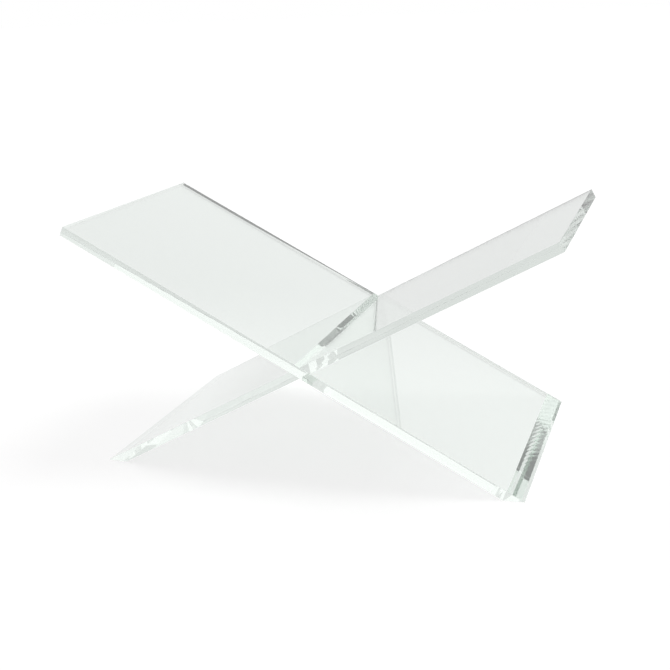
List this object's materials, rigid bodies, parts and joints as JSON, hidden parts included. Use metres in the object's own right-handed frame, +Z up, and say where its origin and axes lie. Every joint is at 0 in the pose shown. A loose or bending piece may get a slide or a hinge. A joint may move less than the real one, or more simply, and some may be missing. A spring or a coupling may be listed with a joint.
{
  "type": "magazine rack",
  "caption": "Low cross-shaped magazine rack of clear acrylic: slotted panels slide together, their upper arms making a valley for magazines.",
  "frame": {"origin": "centre of the rack's footprint on the floor, below the crossing of the panels", "axes": "+X across the valley from the left wing to the right wing, +Y from the front edges to the back edges, +Z up"},
  "size_m": [0.4056, 0.225, 0.202],
  "materials": {
    "left_acrylic": "polished clear cast acrylic with a faint green edge tint",
    "right_acrylic": "polished clear cast acrylic with a faint green edge tint"
  },
  "bodies": {
    "left_wing": {"left_wing_panel": "left_acrylic"},
    "right_wing": {"right_wing_panel": "right_acrylic"}
  },
  "joints": [
    {"name": "panel_slide", "type": "slide", "parent": "left_wing", "child": "right_wing", "axis": [0, 1, 0], "range_m": [0, 0.23]}
  ]
}
